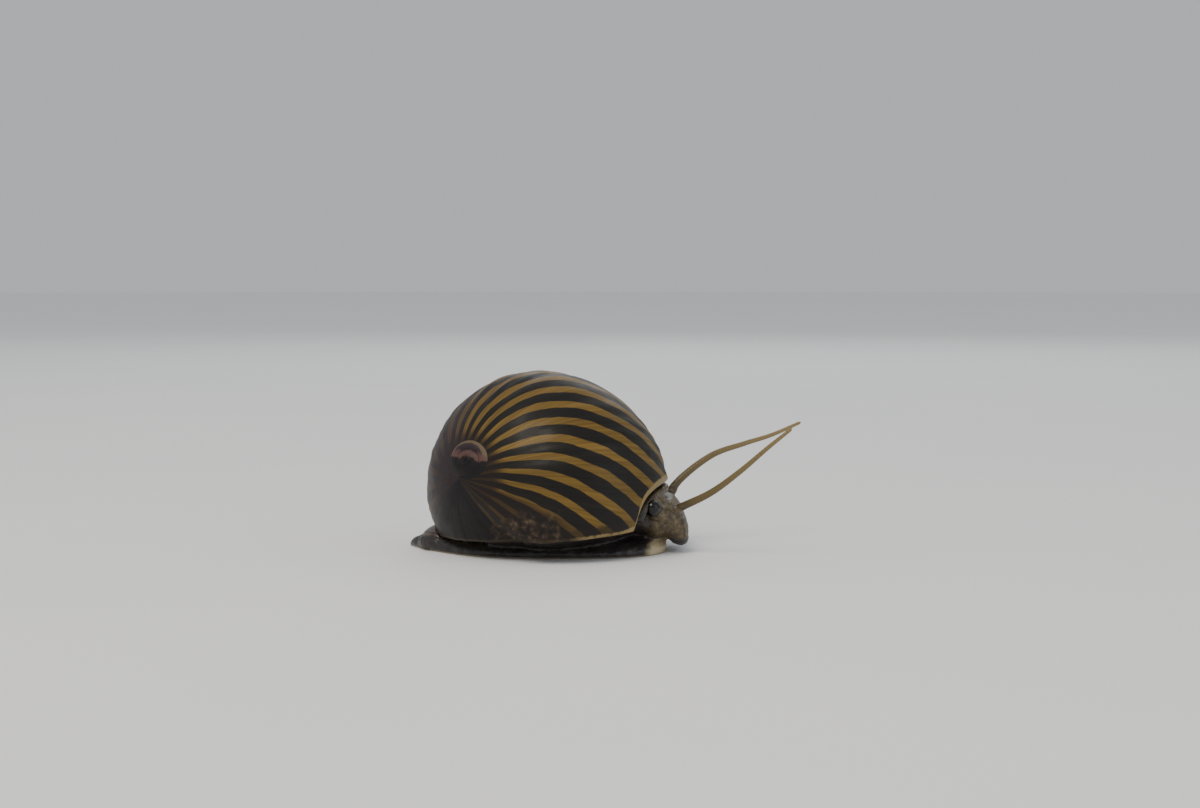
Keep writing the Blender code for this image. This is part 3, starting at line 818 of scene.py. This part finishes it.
def deck(material):
    """The shelf across the back left of the mouth, with a straight edge."""
    centre = DECK_EDGE - DECK_BACK * ACROSS
    rings, count = DECK_GRID
    angle = angles_round(count)
    ray = np.stack([np.cos(angle), np.sin(angle)], -1)
    facing = ray @ ACROSS
    to_edge = np.where(facing > 0.01, DECK_BACK / np.maximum(facing, 0.01), SHELL_REACH)
    start = np.array([*centre, flat_rim(np.array([*centre, 0]))])
    wall = leave_whorl(start, np.concatenate([ray, np.zeros((count, 1))], axis=1))
    to_wall = np.linalg.norm(wall - start, axis=1) - WALL - DECK_CLEAR
    reach = -np.log(np.exp(-DECK_CORNER * to_edge) + np.exp(-DECK_CORNER * to_wall)) / DECK_CORNER
    grid = []
    for share, side in plate_rows(rings):
        flat = centre + (share * reach)[:, None] * ray
        level = flat_rim(flat) + DECK_THICK / 2 - side * DECK_THICK / 2 + DECK_SWELL * (1 - share ** 2)
        grid.append(np.concatenate([flat, level[:, None]], axis=1))
    made = loft_grid("shell_shelf", np.stack(grid), {})
    publish(made, material, ["shell_deck"])


# Body.


def foot_half(x):
    """Half the foot's width at a place along it."""
    if x < FOOT_WIDEST:
        share = (FOOT_WIDEST - x) / (FOOT_WIDEST - FOOT_TIP)
        return FOOT_HALF * (1 - share ** TAIL_POWER) ** TAIL_BLUNTNESS
    share = (x - FOOT_WIDEST) / (FOOT_FRONT - FOOT_WIDEST)
    return FOOT_HALF * (1 - share ** FRONT_POWER) ** (1 / FRONT_POWER)


def foot_middle(x):
    """The foot's own midline, which bends to the left along the tail."""
    return MIDLINE + TAIL_BEND * max(0.0, (BEND_START - x) / (BEND_START - FOOT_TIP)) ** 2


def press_under_shell(made):
    """Presses the back of the foot down where the shell rests over it."""
    points = points_of(made)
    level = points.copy()
    level[:, 2] = flat_rim(points)
    outside = read_whorl(level)[2]
    limit = flat_rim(points) - PRESS_GAP + PRESS_SLOPE * np.maximum(0, outside - 0.1)
    points[:, 2] = np.minimum(points[:, 2], limit)
    move_points(made, points)
    return made


def foot():
    """The foot: a flat sole, a thin rippled edge and a low arched back."""
    rings, sides = FOOT_GRID
    made = []
    for i in range(rings + 1):
        share = 0.5 - 0.5 * math.cos(math.pi * (0.012 + 0.976 * i / rings))
        x = FOOT_TIP + (FOOT_FRONT - FOOT_TIP) * share
        half = foot_half(x)
        height = FOOT_HEIGHT * min(1.0, 1.15 * math.sqrt(half / FOOT_HALF))
        edge = 0.55 * min(FOOT_EDGE, height * 0.6)
        middle = foot_middle(x)
        ring = [(x, middle - half + 0.3 * edge, 0), (x, middle + half - 0.3 * edge, 0)]
        for j in range(sides + 1):
            side = math.cos(math.pi * j / sides)
            back = (1 - side ** 2) ** 0.55
            ripple = RIPPLE_DEPTH * side ** 6 * math.sin(
                5.1 * x + 1.3 * math.sin(2.1 * x) + math.copysign(1, side))
            ring.append((x, middle + (half + ripple) * side, edge + (height - edge) * back))
        made.append(ring)
    return press_under_shell(loft("foot", made))


def oval(name, middle, half, segments=96, rings=64):
    """A closed oval ball."""
    shape = bmesh.new()
    bmesh.ops.create_uvsphere(shape, u_segments=segments, v_segments=rings, radius=1.0)
    mesh = bpy.data.meshes.new(name)
    shape.to_mesh(mesh)
    shape.free()
    mesh.transform(Matrix.Translation(Vector(middle)) @ Matrix.Diagonal([*half, 1]))
    return new_object(name, mesh)


def tail_lobe():
    """The swelling of the tail, sunk a little where the lid lies."""
    made = oval("lobe", LOBE_MIDDLE, LOBE_HALF)
    points = points_of(made)
    points[:, 2] = np.maximum(points[:, 2], 0.3)
    from_middle = np.linalg.norm((points - LOBE_MIDDLE)[:, :2] / LID_HALF, axis=1)
    under_lid = smooth_step(1.04, 0.96, from_middle)
    points[:, 2] -= LID_SUNK * under_lid * smooth_step(1.0, 1.6, points[:, 2])
    move_points(made, points)
    return press_under_shell(made)


def trunk():
    """The flesh in the mouth of the shell, under the whorl and clear of the shelf."""
    azimuth = angles_round(TRUNK_AROUND)

    def ring(rise, share):
        wall = leave_whorl(SHELL_MIDDLE, aim(azimuth, rise + 0 * azimuth))
        return SHELL_MIDDLE + (wall - SHELL_MIDDLE) * share

    rings = []
    for level, share in TRUNK_LOW:
        points = ring(0.0, share)
        tilt = points[:, 0] * math.tan(RIM_SLOPE) + points[:, 1] * math.tan(RIM_ROLL)
        points[:, 2] = level + tilt * level / RIM_LEVEL
        rings.append(points)
    for rise in np.linspace(0.15, math.pi / 2 - 0.05, TRUNK_RINGS):
        points = ring(rise, TRUNK_SHARE)
        points[:, 2] = SHELL_MIDDLE[2] + (points[:, 2] - SHELL_MIDDLE[2]) * TRUNK_HEIGHT
        rings.append(points)
    for points in rings:
        short = np.maximum(0, TRUNK_CLEAR - (points[:, :2] - DECK_EDGE) @ ACROSS)
        points[:, :2] += short[:, None] * ACROSS
        points[:, 0] = np.minimum(points[:, 0], TRUNK_FRONT)
    return loft("trunk", rings)


def head():
    """Neck, head and snout in one loft, with a cleft between the lips."""
    rings, sides = HEAD_GRID
    made = []
    for i in range(rings + 1):
        x, half, low, high = along(HEAD_STATIONS, i / rings)
        low -= NECK_DROP * smooth_step(9.7, 8.7, x)
        ring = []
        for j in range(sides):
            angle = TWO_PI * (j + 0.5) / sides
            y = half * squared(math.cos(angle), 2 / HEAD_POWER)
            z = (low + high) / 2 + (high - low) / 2 * squared(math.sin(angle), 2 / HEAD_POWER)
            cleft = CLEFT_DEPTH * math.exp(-(y / CLEFT_HALF) ** 2)
            cleft *= smooth_step(9.6, 11.42, x) * smooth_step(4.6, 1.7, z)
            limit = arch(MIDLINE + y, HEAD_CLEAR)
            ring.append((x - cleft, MIDLINE + y, min(z, limit) if z > low + 0.1 else z))
        made.append(ring)
    made.append([(x - 0.12, MIDLINE + (y - MIDLINE) * 0.6, 1.5 + (z - 1.5) * 0.6)
                 for x, y, z in made[-1]])
    return loft("head", made)


def mantle():
    """The soft edge of the mantle: a band with a rounded front, under the arch of the lip."""
    rings = []
    half = (ARCH_HALF - MANTLE_INSET) * 0.995
    for lean in np.linspace(-MANTLE_SPAN, MANTLE_SPAN, MANTLE_GRID[0]):
        y = MIDLINE + half * math.sin(lean * math.pi / 2)
        z = float(arch(y, MANTLE_INSET))
        tilt = math.atan2(float(arch(y + 0.01, MANTLE_INSET) - arch(y - 0.01, MANTLE_INSET)), 0.02)
        front = leave_whorl(np.array([2.0, y, z]), np.array([[1.0, 0.0, 0.0]]))[0][0] - 0.05
        ring = []
        for i in range(MANTLE_GRID[1]):
            angle = TWO_PI * i / MANTLE_GRID[1]
            length = (front - MANTLE_BACK) / 2
            x = MANTLE_BACK + length + length * squared(math.cos(angle), 0.25)
            lift = MANTLE_HALF * squared(math.sin(angle), 0.6)
            ring.append((x, y - lift * math.sin(tilt), z + lift * math.cos(tilt)))
        rings.append(ring)
    return loft("mantle", rings)


def mirrored(place, side):
    """A place on the right of the head, or its mirror on the left."""
    return np.array([place[0], MIDLINE + side * (MIDLINE - place[1]), place[2]])


def tube(name, points, radii, sides=32):
    """A round tube through points."""
    rings = []
    across = np.array([0.0, 1.0, 0.0])
    for i, (point, radius) in enumerate(zip(points, radii)):
        ahead = unit(points[min(i + 1, len(points) - 1)] - points[max(i - 1, 0)])
        across = unit(across - (across @ ahead) * ahead)
        lift = np.cross(ahead, across)
        rings.append([point + radius * (math.cos(a) * across + math.sin(a) * lift)
                      for a in (TWO_PI * j / sides for j in range(sides))])
    return loft(name, rings)


def eye_stalk(side):
    """A short cone from the side of the head, with a collar of skin round the eye."""
    root, end = mirrored(EYE_ROOT, side), mirrored(EYE_PLACE, side)
    root = root - (end - root) * STALK_SUNK
    shares = np.linspace(0, STALK_SEEN, 24)
    cone = STALK_RADIUS * (STALK_FLARE - STALK_TAPER * shares ** 1.6)
    radii = cone + COLLAR * np.exp(-((shares - 0.85) / 0.07) ** 2)
    return tube("stalk", [root + (end - root) * s for s in shares], radii)


def cheek(side):
    """A fold of skin that joins the head to the mantle above the eye."""
    return oval("cheek", mirrored(CHEEK_PLACE, side), CHEEK_HALF, 32, 20)


def nape():
    """The skin behind the head, where the neck meets the mantle."""
    return oval("nape", NAPE_PLACE, NAPE_HALF, 48, 20)


def feeler_curve(places, start, steps=120):
    """Points along one feeler, from a share of its run to its tip."""
    return np.array([along(places, start + (1 - start) * i / steps) for i in range(steps + 1)])


def feeler_stub(places):
    """The flared root of a feeler, part of the head."""
    points = feeler_curve(places, 0.0)[:STUB_STEPS]
    points = np.concatenate([[2 * points[0] - points[9]], points])
    shares = np.linspace(0, 1, len(points))
    return tube("stub", points, STUB_RADIUS - (STUB_RADIUS - FEELER_ROOT_RADIUS) * shares ** 0.7)


def feeler_tree(material):
    """A thin tapering stalk swept along a line, with shallow rings round it."""
    tree, add, inlet = geometry_tree(
        "feeler", ["Root radius", "Tip radius", "Ring spacing", "Ring depth"])
    line = add("GeometryNodeMeshToCurve", inlet["Geometry"])
    fine = add("GeometryNodeResampleCurve", line, Count=240)
    share = add("GeometryNodeSplineParameter", out="Factor")
    run = add("GeometryNodeSplineParameter", out="Length")
    taper = add("MapRange", share, To_Min=inlet["Root radius"], To_Max=inlet["Tip radius"])
    tip = add("MapRange", share, From_Min=0.985, From_Max=1.0, To_Min=1.0, To_Max=0.3, **SOFT)
    turns = add("Math.DIVIDE", run, inlet["Ring spacing"])
    circle = add("Math.MULTIPLY", turns, TWO_PI)
    wave = add("Math.SINE", circle)
    ringed = add("Math.MULTIPLY_ADD", wave, inlet["Ring depth"], taper)
    radius = add("Math.MULTIPLY", ringed, tip)
    section = add("GeometryNodeCurvePrimitiveCircle", Resolution=16, Radius=1.0)
    swept = add("GeometryNodeCurveToMesh", fine, Profile_Curve=section, Scale=radius, Fill_Caps=True)
    return end_tree(tree, swept, material)


def feeler(places, tree):
    """One feeler as a closed tube that starts inside the root on the head."""
    points = feeler_curve(places, FEELER_START)
    mesh = bpy.data.meshes.new("feeler")
    mesh.from_pydata(points.tolist(), [(i, i + 1) for i in range(len(points) - 1)], [])
    return run_tree(new_object("feeler", mesh), tree, {
        "Root radius": FEELER_ROOT_RADIUS, "Tip radius": FEELER_TIP_RADIUS,
        "Ring spacing": FEELER_RING, "Ring depth": 0.005})


def wrinkle_tree(material):
    """Pushes skin in along a net of creases and lets it swell between them."""
    tree, add, inlet = geometry_tree("skin_wrinkles", ["Crease depth", "Crease spacing", "Swell"])
    place = add("GeometryNodeInputPosition")
    normal = add("GeometryNodeInputNormal")
    amount = add("GeometryNodeInputNamedAttribute", Name="wrinkled", out="Attribute")
    scale = add("Math.DIVIDE", 1.0, inlet["Crease spacing"])
    bend = add("TexNoise", place, Scale=0.9, Detail=2.0, out="Color")
    bent = add("VectorMath.ADD", bend, place)
    creases = add("TexVoronoi", bent, Scale=scale, out="Distance", feature="DISTANCE_TO_EDGE")
    valley = add("MapRange", creases, From_Max=0.22, To_Min=-1.0, To_Max=0.0, **SOFT)
    deep = add("Math.MULTIPLY", valley, inlet["Crease depth"])
    swell = add("TexNoise", place, Scale=0.7, Detail=3.0)
    swell = add("Math.SUBTRACT", swell, 0.5)
    total = add("Math.MULTIPLY_ADD", swell, inlet["Swell"], deep)
    total = add("Math.MULTIPLY", total, amount)
    shift = add("VectorMath.SCALE", normal, Scale=total)
    moved = add("GeometryNodeSetPosition", inlet["Geometry"], Offset=shift)
    return end_tree(tree, moved, material)


def join(parts):
    """Joins objects into the first of them."""
    shape = bmesh.new()
    for part in parts:
        shape.from_mesh(part.data)
    shape.to_mesh(parts[0].data)
    shape.free()
    for part in parts[1:]:
        bpy.data.objects.remove(part)
    return parts[0]


def skin(material):
    """All the flesh in one skin: the parts are fused, smoothed, wrinkled and given their feelers."""
    parts = [foot(), tail_lobe(), trunk(), head(), nape(), mantle()]
    parts += [build(side) for side in (-1, 1) for build in (eye_stalk, cheek)]
    parts += [feeler_stub(places) for places in (FEELER_RIGHT, FEELER_LEFT)]
    body = join(parts)
    body.name = "snail_skin"
    fuse = body.modifiers.new("fuse", "REMESH")
    fuse.mode = "VOXEL"
    fuse.voxel_size = VOXEL
    ease = body.modifiers.new("ease", "SMOOTH")
    ease.factor = EASE
    ease.iterations = EASE_TIMES
    evaluated(body)
    points = points_of(body)
    points[:, 2] = np.where(points[:, 2] < FLOOR_SNAP, 0.0, points[:, 2])
    move_points(body, points)
    mark(body, "wrinkled", smooth_step(0.05, 0.45, points[:, 2]))
    run_tree(body, wrinkle_tree(material), CREASES)
    tree = feeler_tree(material)
    for places in (FEELER_RIGHT, FEELER_LEFT):
        part = feeler(places, tree)
        weld = body.modifiers.new("weld", "BOOLEAN")
        weld.operation = "UNION"
        weld.solver = "EXACT"
        weld.object = part
        evaluated(body)
        bpy.data.objects.remove(part)
    colour_marks(body)
    publish(body, material, FLESH_NODES)


def colour_marks(body):
    """Marks the feelers, the cream lips and foot margin, and the face, for the skin's material."""
    points = points_of(body)
    x, y, z = points.T
    feeler_mark, run_mark = np.zeros(len(points)), np.zeros(len(points))
    for places in (FEELER_RIGHT, FEELER_LEFT):
        line = feeler_curve(places, 0.0)
        run = np.concatenate([[0], np.cumsum(np.linalg.norm(np.diff(line, axis=0), axis=1))])
        ahead = np.nonzero(x > 9.6)[0]
        far = np.linalg.norm(points[ahead, None] - line[None], axis=2)
        nearest = far.argmin(1)
        close = far[np.arange(len(ahead)), nearest] < 0.5
        share = smooth_step(0.9, 2.6, run[nearest]) * close
        feeler_mark[ahead] = np.maximum(feeler_mark[ahead], share)
        run_mark[ahead] = np.where(close, run[nearest], run_mark[ahead])
    mark(body, "feeler", feeler_mark)
    mark(body, "feeler_run", run_mark)
    half = np.array([foot_half(min(max(v, FOOT_TIP), FOOT_FRONT)) for v in x])
    beside = smooth_step(0.86, 1.0, np.abs(y - MIDLINE) / np.maximum(half, 0.5))
    beside *= smooth_step(0.7, 0.35, z)
    front = smooth_step(7.4, 8.9, x) * smooth_step(1.5, 0.9, z) * smooth_step(10.2, 9.6, x)
    lips = 0.45 * smooth_step(10.6, 11.2, x) * smooth_step(1.5, 0.7, z)
    mark(body, "pale", np.clip(0.15 * beside + front + lips, 0, 1))
    mark(body, "face", smooth_step(7.5, 9.0, x) * smooth_step(0.9, 1.6, z) * (1 - feeler_mark))


def lid(material):
    """The lid: a thin curved plate on the tail, with a rounded edge."""
    rings, count = LID_GRID
    angle = angles_round(count)
    reach = LID_HALF * np.stack([np.cos(angle), np.sin(angle)], -1)
    rows, ring_marks = [], []
    for share, side in plate_rows(rings):
        dome = 1 - ((share * reach / LOBE_HALF[:2]) ** 2).sum(1)
        points = np.zeros((count, 3)) + LOBE_MIDDLE
        points[:, :2] += share * reach
        points[:, 2] += LOBE_HALF[2] * np.sqrt(np.maximum(dome, 0)) + 0.02
        level = flat_rim(points)
        outside = read_whorl(np.column_stack([points[:, :2], level]))[2]
        limit = level - 0.10 + PRESS_SLOPE * np.maximum(0, outside - 0.05)
        points[:, 2] = np.minimum(points[:, 2], limit) - LID_THICK / 2 * (1 - side)
        rows.append(points)
        ring_marks.append(0 * angle + share)
    made = loft_grid("operculum_lid", np.stack(rows), {"ring": np.stack(ring_marks)})
    publish(made, material, ["operculum"])


def eyes(material):
    """Each eye is a ball with a slightly drawn-out lens, sunk in the collar of its stalk."""
    for side, word in ((-1, "right"), (1, "left")):
        place = mirrored(EYE_PLACE, side)
        out = unit(place - mirrored(EYE_ROOT, side))
        made = oval(f"eyeball_{word}", (0, 0, 0), (EYE_RADIUS,) * 3, 48, 32)
        points = points_of(made)
        facing = np.clip(points @ out / EYE_RADIUS, 0, 1)
        grown = EYE_GROWN + LENS_GROWN * facing ** 3
        move_points(made, points * grown[:, None] + place + EYE_OUT * out)
        publish(made, material, [f"eye_{word}"])


# Stage.


def camera():
    """The camera at the photograph's angle and scale."""
    data = bpy.data.cameras.new("camera")
    data.lens = CAMERA_LENS
    data.sensor_width = CAMERA_SENSOR
    data.clip_start = 0.005
    made = new_object("camera", data)
    up = Vector((0, math.sin(CAMERA_RISE), math.cos(CAMERA_RISE)))
    back = Vector((0, -math.cos(CAMERA_RISE), math.sin(CAMERA_RISE)))
    target = Vector((CAMERA_AIM[0], 0, 0)) + up * CAMERA_AIM[1]
    made.matrix_world = Matrix.Translation((target + back * CAMERA_DISTANCE) * MM) @ Matrix(
        ((1, 0, 0), tuple(up), tuple(back))).transposed().to_4x4()
    bpy.context.scene.camera = made


def softbox(name, place, size, power, colour):
    """A square soft light aimed at the snail."""
    data = bpy.data.lights.new(name, "AREA")
    data.size = size
    data.energy = power
    data.color = linear(colour)[:3]
    made = new_object(name, data)
    made.location = place
    made.rotation_euler = (LIGHT_AIM - Vector(place)).to_track_quat("-Z", "Y").to_euler()


def stage():
    """A pale round floor, an even pale sky and three soft lights."""
    bpy.ops.mesh.primitive_circle_add(vertices=96, radius=1.5, fill_type="NGON")
    floor = bpy.context.object
    floor.name = "floor"
    made, add, place = new_finish("matt_pale_floor", Roughness=0.85, Specular_IOR_Level=0.2)
    grain = add("TexNoise", place, Scale=0.02, Detail=2.0)
    pale = add("ValToRGB", grain, stops=[(0.3, "#f4f5f6"), (0.7, "#f8f8f8")])
    floor.data.materials.append(wire(made, Base_Color=pale))
    world = bpy.data.worlds.new("pale_sky")
    world.use_nodes = True
    sky = world.node_tree.nodes["Background"]
    sky.inputs["Color"].default_value = linear("#d3d6d8")
    sky.inputs["Strength"].default_value = SKY_STRENGTH
    bpy.context.scene.world = world
    for name, light in SOFTBOXES.items():
        softbox(name, *light)


body_whorl(striped_aragonite())
spire(eroded_spire())
deck(porcelain_callus())
lid(limy_lid())
eyes(glossy_eye())
skin(wet_skin())
camera()
stage()
